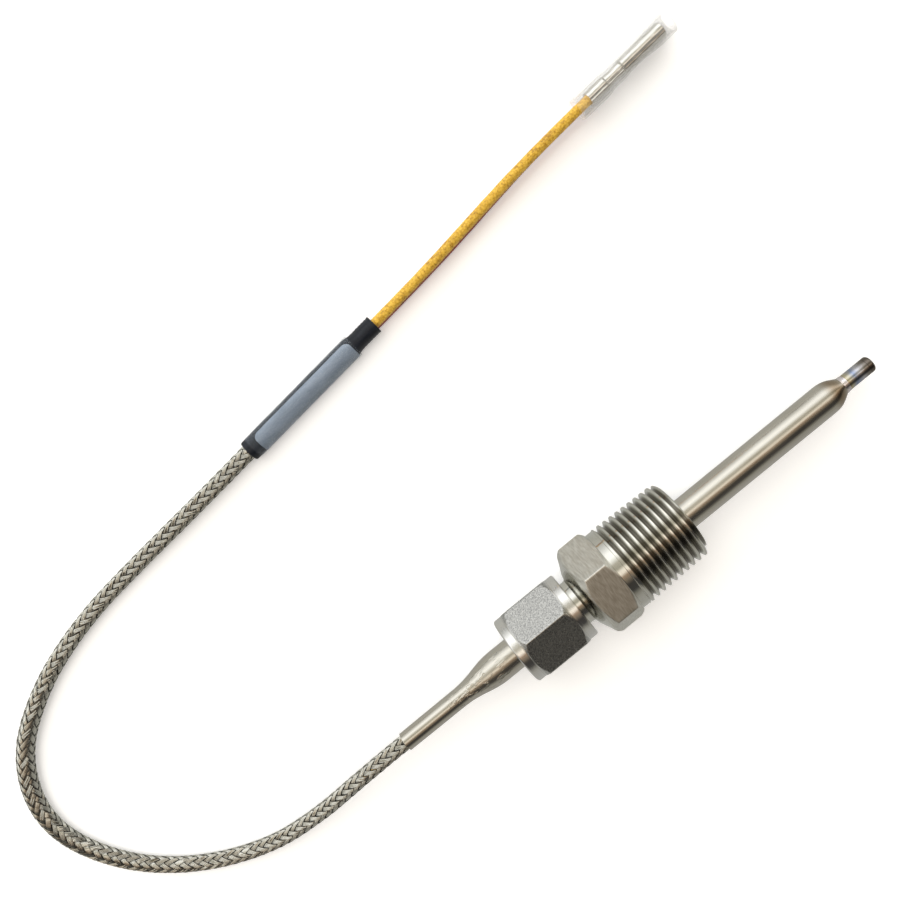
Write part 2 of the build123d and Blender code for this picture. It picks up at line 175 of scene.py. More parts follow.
def hexagon_angles(turn):
    """Column angles, close together at the six corners."""
    corner = [0.0, 0.25, 0.55, 0.95, 1.5, 2.3, 3.4]
    flat = np.linspace(5.0, 55.0, 17)
    one = sorted([*corner, *[60.0 - c for c in corner[1:]], *flat])
    return np.radians(np.concatenate([np.array(one) + 60.0 * k + turn for k in range(6)]))


def spread(start, end, count):
    """Even steps from start, short of end."""
    return np.linspace(start, end, count, endpoint=False).tolist()


def thread_rows(angles, start, end, pitch, crest_r, depth, run_in, run_out):
    """Rows of a right-hand helical thread: the grid is sheared, so its edges follow the helix."""
    knots = (0.0, 0.08, 0.16, 0.2, 0.24, 0.38, 0.5, 0.54, 0.6, 0.66, 0.8, 0.94)
    turns = int((end - start) / pitch) + 3
    rows = []
    for turn in range(turns):
        for knot in knots:
            x = start + (turn - 1 + knot + angles / (2 * math.pi)) * pitch
            x = np.clip(x, start, end)
            phase = ((x - start) / pitch - angles / (2 * math.pi)) % 1.0
            ridge = np.clip(np.abs(((phase - 0.08 + 0.5) % 1.0) - 0.5) * 2.0, 0.24, 0.9)
            drop = (ridge - 0.24) / 0.66
            fade = np.clip((x - start) / run_in, 0, 1) if run_in else 1.0
            fade = fade * (np.clip((end - x) / run_out, 0, 1) if run_out else 1.0)
            rows.append(np.stack([x, crest_r(x) - depth * drop * fade], -1))
    return rows


# ----------------------------------------------------------------------- fitting and nut
def fitting_piece():
    """Hexagon, land, taper thread, rear neck and compression thread, as one closed mesh."""
    angles = hexagon_angles(0.0)
    angles = np.append(angles, angles[0] + 2 * math.pi)
    limit = hexagon_limit(BODY_FLATS, 0.0)
    corner, flat = BODY_FLATS / math.sqrt(3) + 0.1, BODY_FLATS / 2 - 0.1

    def plain(path):
        return turned_rows(path, angles, limit)

    chamfer_rise = (corner - flat) / 1.4
    hexagon = [(x, flat + (x + 8.3) * chamfer_rise, True) for x in spread(-8.3, -6.9, 14)]
    hexagon += [(x, corner + 0.3, True) for x in spread(-6.9, -1.4, 8)]
    hexagon += [(x, corner - (x + 1.4) * chamfer_rise, True) for x in spread(-1.4, -0.05, 14)]
    rows = plain([
        (THREAD_END - 0.5, BORE_R, False), (-10.0, BORE_R, False), (-14.3, BORE_R, False),
        (SCREW_START, 5.45, False), (SCREW_START, 5.55, False), (-20.45, 5.68, False),
    ])
    rows += thread_rows(angles, -20.4, SCREW_END, SCREW_PITCH,
                        lambda x: np.minimum(SCREW_R, 5.75 + (x + 20.4)), SCREW_DEPTH, 0.1, 0.8)
    rows += plain([
        (-12.6, 6.35, False), (-12.4, 6.3, False), (-12.0, 5.8, False), (-11.9, 5.75, False),
        (-11.3, 5.75, False), (-10.6, 5.85, False), (-10.4, 6.15, False), (-10.2, 6.9, False),
        (-10.1, 7.2, False), (-10.0, 7.42, False), (-9.2, 9.0, True), (-8.5, 10.6, True), *hexagon,
        (-0.04, flat - 0.02, True), (0.0, flat - 0.1, False), (0.02, 10.85, False),
        (0.06, 10.75, False), (0.9, 10.75, False), (1.9, 10.75, False),
    ])
    rows += thread_rows(
        angles, THREAD_START, THREAD_END - 0.02, THREAD_PITCH,
        lambda x: np.minimum(THREAD_SMALL_R + (THREAD_END - x) * THREAD_TAPER, 9.25 + (THREAD_END - x) * 1.4),
        THREAD_DEPTH, 0.7, 0.0)
    rows += plain([
        (THREAD_END, 8.75, False), (THREAD_END, 8.6, False), (THREAD_END, 4.66, False),
        (THREAD_END - 0.06, 4.54, False), (THREAD_END - 0.5, BORE_R, False),
    ])
    return grid_object("threaded_fitting", turned_points(rows, angles), wrap=False, sharp=32.0)


def nut_piece():
    """Hexagon nut with turned end rings, its chamfers and the cavity for the ferrules."""
    corner, ring_r, rear, front = NUT_FLATS / math.sqrt(3), 8.7, -29.9, -11.9
    rise = corner - ring_r
    a, b = rear + 2.25, front - 2.25
    path = [
        (rear + 0.12, BORE_R, False), (rear, BORE_R + 0.14, False), (rear, 8.25, False),
        (rear + 0.06, 8.42, False), (rear + 0.32, 8.66, False), (rear + 0.45, ring_r, False),
        (rear + 1.2, ring_r, False), (a - 0.1, ring_r, False), (a - 0.04, ring_r - 0.05, False),
        (a, ring_r - 0.02, False),
    ]
    path += [(x, ring_r + (x - a), True) for x in spread(a, a + rise, 14)]
    path += [(x, corner + 0.3, True) for x in spread(a + rise, b - rise, 10)]
    path += [(x, corner - (x - b + rise), True) for x in spread(b - rise, b, 14)]
    path += [
        (b, ring_r - 0.02, False), (b + 0.04, ring_r - 0.05, False), (b + 0.1, ring_r, False),
        (front - 1.0, ring_r, False), (front - 0.45, ring_r, False), (front - 0.32, 8.66, False),
        (front - 0.06, 8.42, False), (front, 8.25, False), (front, 7.05, False),
        (front - 0.6, 6.47, False), (-21.4, 6.47, False), (-21.8, 5.7, False), (-25.3, 5.7, False),
        (-26.9, BORE_R, False), (rear + 0.12, BORE_R, False),
    ]
    angles = hexagon_angles(NUT_TURN)
    rows = turned_rows(path, angles, hexagon_limit(NUT_FLATS, NUT_TURN))
    return grid_object("union_nut", turned_points(rows, angles), sharp=32.0)


# --------------------------------------------------------------------------- cord lines
def route_line(route, resolution):
    """Points of the smooth line of a route: its NURBS spline, read as a mesh."""
    curve = bpy.data.curves.new("route", "CURVE")
    curve.dimensions = "3D"
    curve.resolution_u = resolution
    spline = curve.splines.new("NURBS")
    spline.points.add(len(route) - 1)
    for point, corner in zip(spline.points, route):
        point.co = (*corner, 1.0)
    spline.order_u = 3
    spline.use_endpoint_u = True
    holder = bpy.data.objects.new("route", curve)
    bpy.context.scene.collection.objects.link(holder)
    mesh = bpy.data.meshes.new_from_object(holder)
    line = np.array([vertex.co[:] for vertex in mesh.vertices])
    bpy.data.objects.remove(holder)
    return line


class Line:
    """A cord's line with a frame that doesn't twist, in millimetres."""

    def __init__(self, points, lead_in=0.0, lead_out=0.0):
        points = points / MM
        first = points[0] - unit(points[1] - points[0]) * lead_in
        last = points[-1] + unit(points[-1] - points[-2]) * lead_out
        points = np.vstack([first, points, last])
        self.points = points[np.append(True, np.linalg.norm(np.diff(points, axis=0), axis=1) > 1e-6)]
        self.along = np.append(0.0, np.cumsum(np.linalg.norm(np.diff(self.points, axis=0), axis=1)))
        tangents = unit(np.gradient(self.points, self.along, axis=0))
        side = unit(np.cross((0.0, 0.0, 1.0), tangents[0]))
        sides = []
        for tangent in tangents:
            side = unit(side - side.dot(tangent) * tangent)
            sides.append(side)
        self.sides = np.array(sides)
        self.ups = np.cross(tangents, self.sides)
        self.length = self.along[-1]

    def at(self, distance, angle, radius):
        """Points at a distance along the line, an angle round it and a radius from it."""
        def mixed(values):
            return np.stack([np.interp(distance, self.along, values[:, k]) for k in range(3)], -1)
        out = mixed(self.sides) * np.cos(angle)[..., None] + mixed(self.ups) * np.sin(angle)[..., None]
        return mixed(self.points) + out * np.asarray(radius)[..., None]


def unit(vectors):
    """Vectors of length one."""
    vectors = np.asarray(vectors, dtype=float)
    return vectors / np.linalg.norm(vectors, axis=-1, keepdims=True)


def wander(distance, step, size):
    """Smooth random offset along a line."""
    knots = np.arange(0.0, distance.max() + 2 * step, step)
    values = RANDOM.normal(0.0, size, len(knots))
    return np.interp(distance, knots, values)


# ------------------------------------------------------------------------- cable's braid
CARRIERS = 8                      # wire bundles wound each way
BRAID_LAY = 19.0                  # length of one turn
BUNDLE_WIDTH = 1.16
WIRES = 5                         # wires side by side in a bundle
WIRE_SWELL = 0.05
BRAID_MIDDLE_R = 1.76
WEAVE_LIFT = 0.13
INNER_WRAP_R = 1.6
TABLE_Z = -11.1                   # the hexagon's lowest flat lies on the table
# Where the braid opens: middle of the bend along the cable, its reach and the swell.
BENDS = ((116.0, 30.0, 0.30), (190.0, 25.0, 0.06))


def braid_swell(distance):
    """The braid opens and fattens in the bends."""
    return sum(swell * np.exp(-(((distance - middle) / reach) ** 2)) for middle, reach, swell in BENDS)


def on_table(points):
    """Flattened where it would sink into the table top."""
    points[..., 2] = np.maximum(points[..., 2], TABLE_Z)
    return points


def braid_bundle(line, index, hand):
    """A flat bundle of wires that weaves over two and under two of the other hand's bundles."""
    distance = np.arange(0.0, line.length, 0.24)
    crossing = 2 * CARRIERS * distance / BRAID_LAY
    phase = 2 * index + hand * crossing
    weave = hand * np.cos(math.pi / 2 * (phase - 0.5))
    weave = np.clip(weave * 1.5, -1.0, 1.0)
    across = np.linspace(-0.5, 0.5, 2 * WIRES + 1)
    ridge = np.where(np.arange(len(across)) % 2 == 1, WIRE_SWELL, -WIRE_SWELL)
    lean = math.atan(2 * math.pi * BRAID_MIDDLE_R / BRAID_LAY)
    width = BUNDLE_WIDTH * (1 + wander(distance, 2.1, 0.05)) * (1 + 0.35 * braid_swell(distance))
    shift = wander(distance, 3.3, 0.045)
    offset = across[None, :] * width[:, None] + shift[:, None]
    middle = distance[:, None] - hand * offset * math.sin(lean)
    middle = np.clip(middle, 0.0, line.length)
    radius = BRAID_MIDDLE_R + braid_swell(middle) + ridge[None, :] + WEAVE_LIFT * weave[:, None]
    radius = radius - 0.10 * (2 * np.abs(across)[None, :]) ** 3 + wander(distance, 4.1, 0.015)[:, None]
    turn = hand * 2 * math.pi * distance / BRAID_LAY + 2 * math.pi * index / CARRIERS
    angle = turn[:, None] + offset * math.cos(lean) / radius
    points = on_table(line.at(middle, angle, radius))
    uv = np.stack(np.broadcast_arrays(across[None, :] + 0.5, distance[:, None] * 0.1 + 7.7 * index), -1)
    return grid_object(f"bundle_{hand}_{index}", points, wrap=False, sharp=80.0, uv=uv)


def tube_along(name, line, radius_at, rows, columns, caps=True):
    """A tube along a line; radius_at(distance, angle) gives its surface."""
    distance = np.linspace(0.0, line.length, rows)
    angle = np.linspace(0.0, 2 * math.pi, columns, endpoint=False)
    s, a = np.meshgrid(distance, angle, indexing="ij")
    points = line.at(s, a, radius_at(s, a))
    uv = np.stack([a / (2 * math.pi), s / 10.0], -1)
    return grid_object(name, points, caps=caps, sharp=60.0, uv=uv)


def cable_piece(line):
    """The braid over its inner wrap, whose near-black colour is partly its own and partly painted shade seen
    through the braid's gaps.
    """
    bundles = [braid_bundle(line, index, hand) for hand in (1, -1) for index in range(CARRIERS)]
    for bundle in bundles:
        bundle.data.materials.append(braid_wire())
    core = tube_along("inner_wrap", line, lambda s, a: INNER_WRAP_R + 0.8 * braid_swell(s), 420, 20)
    core.data.materials.append(under_braid())
    return join("braided_cable", [*bundles, core])


def lead_piece(name, line, material):
    """A lead whose glass-fibre braid stands out as fine diamonds."""
    def surface(s, a):
        round_it, along_it = 6 * a / (2 * math.pi), s / 1.25
        weave = np.sin(2 * math.pi * (round_it + along_it)) * np.sin(2 * math.pi * (round_it - along_it))
        fine = np.sin(14 * a + 9 * s) * np.sin(11 * a - 13 * s)
        return 1.22 + 0.045 * weave + 0.014 * fine + wander(s[:, 0], 2.6, 0.012)[:, None]

    lead = tube_along(name, line, surface, 620, 44)
    lead.data.materials.append(material)
    return lead


# --------------------------------------------------------------------- splice and label
def sleeve_ring(s, half_width, half_height, angles, ripple=0.0):
    """One ring of the splice sleeve; ripple makes it a little uneven."""
    wave = 1 + ripple * np.sin(2 * angles + 0.35 * s) + ripple * np.sin(3 * angles - 0.8 * s + 1.0)
    return np.stack([np.full(len(angles), s), half_width * wave * np.cos(angles),
                     half_height * wave * np.sin(angles)], -1)


def shrink_piece():
    """Black shrink sleeve: long body over the splice, and a shrunk, ribbed neck over the leads."""
    angles = np.linspace(0.0, 2 * math.pi, 72, endpoint=False)
    rings = [(2.4, 1.55, 1.55), (0.5, 1.6, 1.6), (0.08, 2.02, 2.02), (0.0, 2.25, 2.25), (0.05, 2.55, 2.55),
             (0.25, 2.68, 2.68)]
    rings += [(s, SLEEVE_R + 0.012 * math.sin(1.7 * s), SLEEVE_R) for s in spread(0.7, 33.6, 60)]
    for k in range(10):
        t = (k + 1) / 10
        ease = t * t * (3 - 2 * t)
        rings.append((33.6 + 2.4 * t, SLEEVE_R - 0.38 * ease, SLEEVE_R + 0.2 * ease))
    for s in spread(36.2, 41.3, 34):
        rib = 0.035 * math.sin(2 * math.pi * s / 0.9) + 0.02 * math.sin(2 * math.pi * s / 0.43)
        rings.append((s, 2.30 + rib, 2.88 + rib))
    rings += [(41.5, 2.36, 2.92), (41.75, 2.38, 2.93), (41.88, 2.3, 2.86), (41.9, 2.1, 2.66),
              (41.8, 1.85, 2.5), (41.0, 1.75, 2.45), (39.5, 1.6, 2.3)]
    points = np.array([sleeve_ring(s, w, h, angles, 0.006) for s, w, h in rings])
    return grid_object("shrink_sleeve", points, SLEEVE_AXIS, caps=True, sharp=50.0)


def label_piece():
    """Film label bent round the sleeve, its corners rounded and its edges a little proud."""
    start, length, corner_r = 3.4, 31.0, 1.7
    top_edge, wrap = 48.0, 160.0
    s = np.concatenate([start + corner_r * (1 - np.cos(np.linspace(0, math.pi / 2, 12))),
                        np.linspace(start + corner_r, start + length - corner_r, 60)[1:-1],
                        start + length - corner_r * (1 - np.sin(np.linspace(0, math.pi / 2, 12)))])
    nearest = np.minimum(s - start, start + length - s)
    inset = np.where(nearest < corner_r, corner_r - np.sqrt(np.clip(
        corner_r ** 2 - (corner_r - nearest) ** 2, 0, None)), 0.0)
    inset = np.degrees(inset / SLEEVE_R)
    t = np.linspace(0.0, 1.0, 48)
    low, high = top_edge + inset, top_edge + wrap - inset
    angle = np.radians(low[:, None] + (high - low)[:, None] * t[None, :])
    bumps = 0.018 * np.sin(0.9 * s)[:, None] * np.sin(3 * angle)
    bumps = bumps + 0.012 * np.sin(2.3 * s[:, None] + 4 * angle)
    layers = []
    for thickness in (0.0, 0.09):
        radius = SLEEVE_R + 0.035 + thickness + bumps
        layers.append(np.stack([np.broadcast_to(s[:, None], angle.shape), radius * np.cos(angle),
                                radius * np.sin(angle)], -1))
    ring = np.concatenate([layers[1], layers[0][:, ::-1]], axis=1)
    return grid_object("marker_film", ring, SLEEVE_AXIS, caps=True, sharp=50.0)


def wrap_piece():
    """Clear shrink over the label, rolled to a small bump at the lead end."""
    angles = np.linspace(0.0, 2 * math.pi, 72, endpoint=False)
    outer = [(1.5, 2.9)] + [(s, 2.95 + 0.012 * math.sin(2.3 * s)) for s in spread(1.6, 33.0, 40)]
    outer += [(33.3, 2.97), (33.7, 3.08), (34.1, 3.16), (34.5, 3.14), (34.8, 3.02), (35.0, 2.88)]
    inner = [(34.9, 2.8), (34.5, 2.86), (33.4, 2.86)] + [(s, 2.87) for s in (30.0, 20.0, 10.0, 1.6)]
    rings = outer + inner + [(1.5, 2.9)]
    points = np.array([sleeve_ring(s, r, r, angles, 0.004) for s, r in rings])
    return grid_object("clear_overwrap", points, SLEEVE_AXIS, sharp=50.0)


# ------------------------------------------------------------------ terminals and sleeves
def terminal_place(route):
    """At the end of a lead, turned along it."""
    return Matrix.Translation(route[-1]) @ TERMINAL_TURN


def terminal_piece(name, route):
    """Receptacle of rolled sheet: wings round the insulation, wire crimp, slit barrel."""
    angles = np.linspace(-math.pi, math.pi, 96, endpoint=False)
    slit = np.exp(-((angles - 1.9) / 0.13) ** 2)

    def ring(x, r, groove=0.0, flatten=0.0):
        radius = r - groove * slit
        return np.stack([np.full(len(angles), x), radius * np.cos(angles),
                         radius * np.sin(angles) * (1 - flatten)], -1)

    insulation = [ring(x, 1.78 - 0.05 * abs(math.sin(x * 1.3)), 0.32) for x in np.linspace(0.1, 5.0, 14)]
    wire = [ring(x, 1.62 - 0.16 * math.exp(-((x - 7.8) / 1.2) ** 2), 0.45, 0.10)
            for x in np.linspace(5.5, 10.1, 16)]
    barrel = [ring(x, 1.9, 0.14) for x in np.linspace(10.55, 22.8, 30)]
    rows = [
        ring(0.3, 1.3), ring(0.0, 1.34), ring(0.0, 1.7, 0.2), *insulation,
        ring(5.1, 1.6, 0.3), ring(5.15, 1.2), ring(5.35, 1.15), ring(5.45, 1.4, 0.3), *wire,
        ring(10.15, 1.4, 0.3), ring(10.2, 1.15), ring(10.35, 1.15), ring(10.45, 1.75), *barrel,
        ring(22.88, 1.86, 0.14), ring(22.9, 1.7, 0.1), ring(22.82, 1.52),
        ring(18.5, 1.5), ring(12.0, 1.5), ring(11.2, 0.6),
    ]
    return grid_object(name, np.array(rows), terminal_place(route), caps=True, sharp=40.0)


def guard_piece(name, route):
    """Clear sleeve: wide mouth over the crimps, waist over the barrel, flared free end."""
    angles = np.linspace(0.0, 2 * math.pi, 64, endpoint=False)
    outer = [
        (-3.5, 2.72), (-3.43, 2.8), (-3.05, 2.83), (0.0, 2.83), (4.25, 2.83), (4.9, 2.80), (5.4, 2.66),
        (5.85, 2.52), (6.5, 2.49), (10.1, 2.49), (10.7, 2.42), (11.3, 2.31), (12.1, 2.28), (15.4, 2.28),
        (16.7, 2.38), (18.55, 2.60), (20.4, 2.79), (21.5, 2.83), (24.65, 2.83), (25.3, 2.85),
        (25.5, 2.78),
    ]
    inner = [
        (25.5, 2.46), (25.2, 2.4), (24.1, 2.38), (21.3, 2.38), (18.55, 2.2), (15.95, 1.99), (11.5, 1.98),
        (10.65, 2.08), (6.1, 2.1), (5.3, 2.34), (4.25, 2.38), (-3.25, 2.38), (-3.45, 2.46), (-3.5, 2.72),
    ]
    rows = [sleeve_ring(s, r, r, angles, 0.006) for s, r in outer + inner]
    return grid_object(name, np.array(rows), terminal_place(route), sharp=50.0)


# ----------------------------------------------------------------------------- materials
class Shader:
    """A Principled material with short ways to add its nodes."""

    def __init__(self, name, color, metallic=0.0, roughness=0.5, **sockets):
        self.material = bpy.data.materials.new(name)
        self.material.use_nodes = True
        self.tree = self.material.node_tree
        self.main = self.tree.nodes["Principled BSDF"]
        self.place = self.add("ShaderNodeTexCoord")
        self.main.inputs["Base Color"].default_value = (*color, 1.0)
        self.main.inputs["Metallic"].default_value = metallic
        self.main.inputs["Roughness"].default_value = roughness
        for socket, value in sockets.items():
            self.main.inputs[socket.replace("_", " ")].default_value = value

    def add(self, kind, **values):
        node = self.tree.nodes.new(kind)
        for key, value in values.items():
            setattr(node, key, value)
        return node

    def link(self, output, target):
        self.tree.links.new(output, target)

    def scaled(self, scale, source="Object"):
        """Coordinates stretched by a scale, in units per metre."""
        mapping = self.add("ShaderNodeMapping")
        mapping.inputs["Scale"].default_value = scale
        self.link(self.place.outputs[source], mapping.inputs["Vector"])
        return mapping.outputs["Vector"]

    def noise(self, vector, detail=3.0, roughness=0.6):
        node = self.add("ShaderNodeTexNoise")
        node.inputs["Scale"].default_value = 1.0
        node.inputs["Detail"].default_value = detail
        node.inputs["Roughness"].default_value = roughness
        self.link(vector, node.inputs["Vector"])
        return node.outputs["Fac"]

    def ramp(self, value, stops):
        """Colour ramp from (position, colour) stops; a plain number is a grey."""
        node = self.add("ShaderNodeValToRGB")
        elements = node.color_ramp.elements
        while len(elements) < len(stops):
            elements.new(0.5)
        for element, (position, color) in zip(elements, stops):
            element.position = position
            element.color = (*color, 1.0) if isinstance(color, tuple) else (color, color, color, 1.0)
        self.link(value, node.inputs["Fac"])
        return node.outputs["Color"]

    def math(self, operation, a, b=None, c=None):
        node = self.add("ShaderNodeMath", operation=operation)
        for slot, value in enumerate((a, b, c)):
            if isinstance(value, (int, float)):
                node.inputs[slot].default_value = value
            elif value is not None:
                self.link(value, node.inputs[slot])
        return node.outputs[0]

    def mix(self, factor, a, b):
        node = self.add("ShaderNodeMix", data_type="RGBA")
        for socket, value in ((node.inputs[0], factor), (node.inputs[6], a), (node.inputs[7], b)):
            if isinstance(value, (int, float)):
                socket.default_value = value
            elif isinstance(value, tuple):
                socket.default_value = (*value, 1.0)
            else:
                self.link(value, socket)
        return node.outputs[2]

    def split(self, vector):
        node = self.add("ShaderNodeSeparateXYZ")
        self.link(vector, node.inputs[0])
        return node.outputs

    def band(self, value, low, high, soft):
        """1 between low and high, with soft edges."""
        rise = self.add("ShaderNodeMapRange", interpolation_type="SMOOTHSTEP")
        fall = self.add("ShaderNodeMapRange", interpolation_type="SMOOTHSTEP")
        for node, a, b in ((rise, low - soft, low + soft), (fall, high + soft, high - soft)):
            self.link(value, node.inputs["Value"])
            node.inputs["From Min"].default_value = a
            node.inputs["From Max"].default_value = b
        return self.math("MULTIPLY", rise.outputs[0], fall.outputs[0])

    def color(self, output):
        self.link(output, self.main.inputs["Base Color"])

    def roughness(self, output):
        self.link(output, self.main.inputs["Roughness"])

    def bump(self, height, distance, strength=1.0):
        node = self.add("ShaderNodeBump")
        node.inputs["Strength"].default_value = strength
        node.inputs["Distance"].default_value = distance
        self.link(height, node.inputs["Height"])
        self.link(node.outputs["Normal"], self.main.inputs["Normal"])


def kept(make):
    """Each material is made once."""
    made = {}

    def again():
        if make not in made:
            made[make] = make()
        return made[make]
    return again


@kept
def turned_steel():
    """Fitting: brushed hexagon, finely turned land, and a thread with shade painted into its grooves."""
    m = Shader("fitting_steel", (0.60, 0.59, 0.55), 1.0, 0.3)
    x, y, z = m.split(m.place.outputs["Object"])[:3]
    flats = m.band(x, -0.0086, -0.0001, 0.0001)
    brushed = m.noise(m.scaled((3200, 450, 450)), detail=5.0)
    mottle = m.noise(m.scaled((260, 260, 260)), detail=5.0)
    turned = m.noise(m.scaled((16000, 60, 60)), detail=2.0)
    base = m.mix(mottle, (0.56, 0.55, 0.50), (0.78, 0.78, 0.74))
    grain = m.mix(m.ramp(brushed, [(0.38, 0.0), (0.64, 1.0)]), (0.56, 0.54, 0.48), (0.90, 0.89, 0.84))
    steel = m.mix(flats, base, m.mix(0.55, base, grain))
    radius = m.math("SQRT", m.math("ADD", m.math("MULTIPLY", y, y), m.math("MULTIPLY", z, z)))
    crest_r = (THREAD_SMALL_R + THREAD_END * THREAD_TAPER) * MM
    crest = m.math("MULTIPLY_ADD", x, -THREAD_TAPER, crest_r)
    depth = m.math("MULTIPLY", m.math("SUBTRACT", crest, radius), 700.0)
    threaded = m.band(x, 0.0030, 0.0203, 0.0004)
    # painted shade: the thread turns darker the deeper it lies below the crest
    groove = m.math("MULTIPLY", m.ramp(depth, [(0.25, 0.0), (0.84, 0.88)]), threaded)
    m.color(m.mix(groove, steel, (0.17, 0.155, 0.13)))
    rough_flat = m.ramp(brushed, [(0.3, 0.30), (0.75, 0.44)])
    rough_turn = m.ramp(turned, [(0.3, 0.07), (0.75, 0.17)])
    m.roughness(m.mix(flats, rough_turn, rough_flat))
    m.bump(m.mix(flats, m.math("MULTIPLY", turned, 0.3), m.mix(0.5, brushed, mottle)), 0.00002, 0.5)
    return m.material


@kept
def nut_steel():
    """Nut: grainy satin flats and polished turned rings."""
    m = Shader("nut_steel", (0.66, 0.66, 0.65), 1.0, 0.3)
    x = m.split(m.place.outputs["Object"])[0]
    flats = m.band(x, -0.0274, -0.0144, 0.0002)
    grain = m.noise(m.scaled((3600, 3600, 3600)), detail=6.0, roughness=0.75)
    turned = m.noise(m.scaled((14000, 60, 60)), detail=2.0)
    speckle = m.mix(m.ramp(grain, [(0.40, 0.0), (0.60, 1.0)]), (0.27, 0.27, 0.27), (0.68, 0.68, 0.66))
    m.color(m.mix(flats, (0.76, 0.755, 0.74), speckle))
    rough_turn = m.ramp(turned, [(0.3, 0.07), (0.8, 0.16)])
    rough_flat = m.ramp(grain, [(0.3, 0.20), (0.7, 0.36)])
    m.roughness(m.mix(flats, rough_turn, rough_flat))
    m.bump(m.mix(flats, turned, grain), 0.00005, 0.8)
    return m.material


@kept
def tube_steel():
    """Drawn tube: satin, tan tint, browner at the welded shoulder, nicked where it is crimped."""
    m = Shader("tube_steel", (0.60, 0.57, 0.51), 1.0, 0.27)
    x = m.split(m.place.outputs["Object"])[0]
    drawn = m.noise(m.scaled((120, 3200, 3200)), detail=4.0)
    cloud = m.noise(m.scaled((70, 160, 160)), detail=5.0)
    nicks = m.noise(m.scaled((420, 900, 900)), detail=2.0)
    speck = m.noise(m.scaled((3800, 3800, 3800)), detail=3.0)
    crimped = m.band(x, -0.049, -0.0335, 0.003)
    tint = m.band(x, 0.0655, 0.0693, 0.0016)
    base = m.mix(cloud, (0.47, 0.44, 0.38), (0.74, 0.72, 0.66))
    lines = m.mix(m.ramp(drawn, [(0.4, 0.0), (0.6, 1.0)]), base, (0.64, 0.62, 0.57))
    m.color(m.mix(m.math("MULTIPLY", tint, 0.75), m.mix(0.4, base, lines), (0.25, 0.17, 0.09)))
    m.roughness(m.ramp(m.mix(0.5, drawn, cloud), [(0.3, 0.13), (0.7, 0.27)]))
    dents = m.math("MULTIPLY", m.ramp(nicks, [(0.52, 0.0), (0.62, 1.0)]), crimped)
    grit = m.math("ADD", m.math("MULTIPLY", drawn, 0.06), m.math("MULTIPLY", speck, 0.10))
    m.bump(m.math("ADD", grit, dents), 0.00009, 0.55)
    return m.material


@kept
def tip_steel():
    """Stub: glossy, with straw and blue heat colours, and the end cap's joint line."""
    m = Shader("tip_steel", (0.6, 0.5, 0.3), 1.0, 0.16)
    x = m.split(m.place.outputs["Object"])[0]
    cloud = m.noise(m.scaled((500, 500, 500)), detail=3.0)
    from_weld = m.math("MULTIPLY", m.math("SUBTRACT", x, 0.0690), 110.0)
    along = m.math("ADD", from_weld, m.math("MULTIPLY", cloud, 0.22))
    tint = m.ramp(along, [(0.08, (0.62, 0.60, 0.66)), (0.22, (0.50, 0.42, 0.24)), (0.38, (0.56, 0.52, 0.40)),
                          (0.55, (0.30, 0.36, 0.52)), (0.70, (0.52, 0.52, 0.56)), (0.86, (0.26, 0.24, 0.22)),
                          (1.0, (0.16, 0.14, 0.12))])
    seam = m.band(x, 0.07680, 0.07692, 0.00005)
    m.color(m.mix(seam, tint, (0.08, 0.07, 0.06)))
    m.roughness(m.ramp(cloud, [(0.3, 0.10), (0.7, 0.26)]))
    m.bump(m.math("SUBTRACT", m.math("MULTIPLY", cloud, 0.3), seam), 0.00006, 0.5)
    return m.material


@kept
def weld_steel():
    m = Shader("weld_steel", (0.78, 0.74, 0.78), 1.0, 0.22)
    ripple = m.noise(m.scaled((1400, 700, 700)), detail=3.0)
    stops = [(0.3, (0.62, 0.56, 0.60)), (0.55, (0.84, 0.80, 0.83)), (0.8, (0.52, 0.42, 0.32))]
    m.color(m.ramp(ripple, stops))
    m.bump(ripple, 0.00012, 0.7)
    return m.material


@kept
def braid_wire():
    """Fine stainless wires, side by side in each bundle, with shade painted into the grooves between wires
    and along each bundle's edges.
    """
    m = Shader("braid_wire", (0.62, 0.61, 0.54), 1.0, 0.25)
    u = m.split(m.place.outputs["UV"])[0]
    grain = m.noise(m.scaled((900, 900, 900)), detail=3.0)
    strand = m.noise(m.scaled((6, 90, 1), "UV"), detail=2.0)
    groove = m.math("ABSOLUTE", m.math("SINE", m.math("MULTIPLY", u, math.pi * WIRES)))
    bright = m.mix(grain, (0.60, 0.59, 0.53), (0.93, 0.92, 0.87))
    # painted shade: each wire turns dark towards the grooves between the wires
    shaded = m.mix(m.ramp(groove, [(0.0, 0.0), (0.55, 1.0)]), (0.20, 0.19, 0.155), bright)
    worn = m.mix(m.ramp(strand, [(0.42, 0.0), (0.62, 0.45)]), shaded, (0.38, 0.37, 0.31))
    # painted shade: both long edges of each bundle turn near black, for the gaps between bundles
    m.color(m.mix(m.band(u, 0.10, 0.90, 0.07), (0.02, 0.02, 0.016), worn))
    m.roughness(m.ramp(grain, [(0.3, 0.14), (0.7, 0.30)]))
    m.bump(groove, 0.00004, 0.35)
    return m.material


@kept
def under_braid():
    # near black: partly the wrap's own colour, partly painted shade for the gaps between the braid's bundles
    m = Shader("under_braid", (0.05, 0.048, 0.04), 0.0, 0.9)
    fibre = m.noise(m.scaled((2500, 2500, 2500)), detail=4.0)
    m.color(m.ramp(fibre, [(0.3, (0.022, 0.02, 0.016)), (0.75, (0.10, 0.095, 0.08))]))
    return m.material


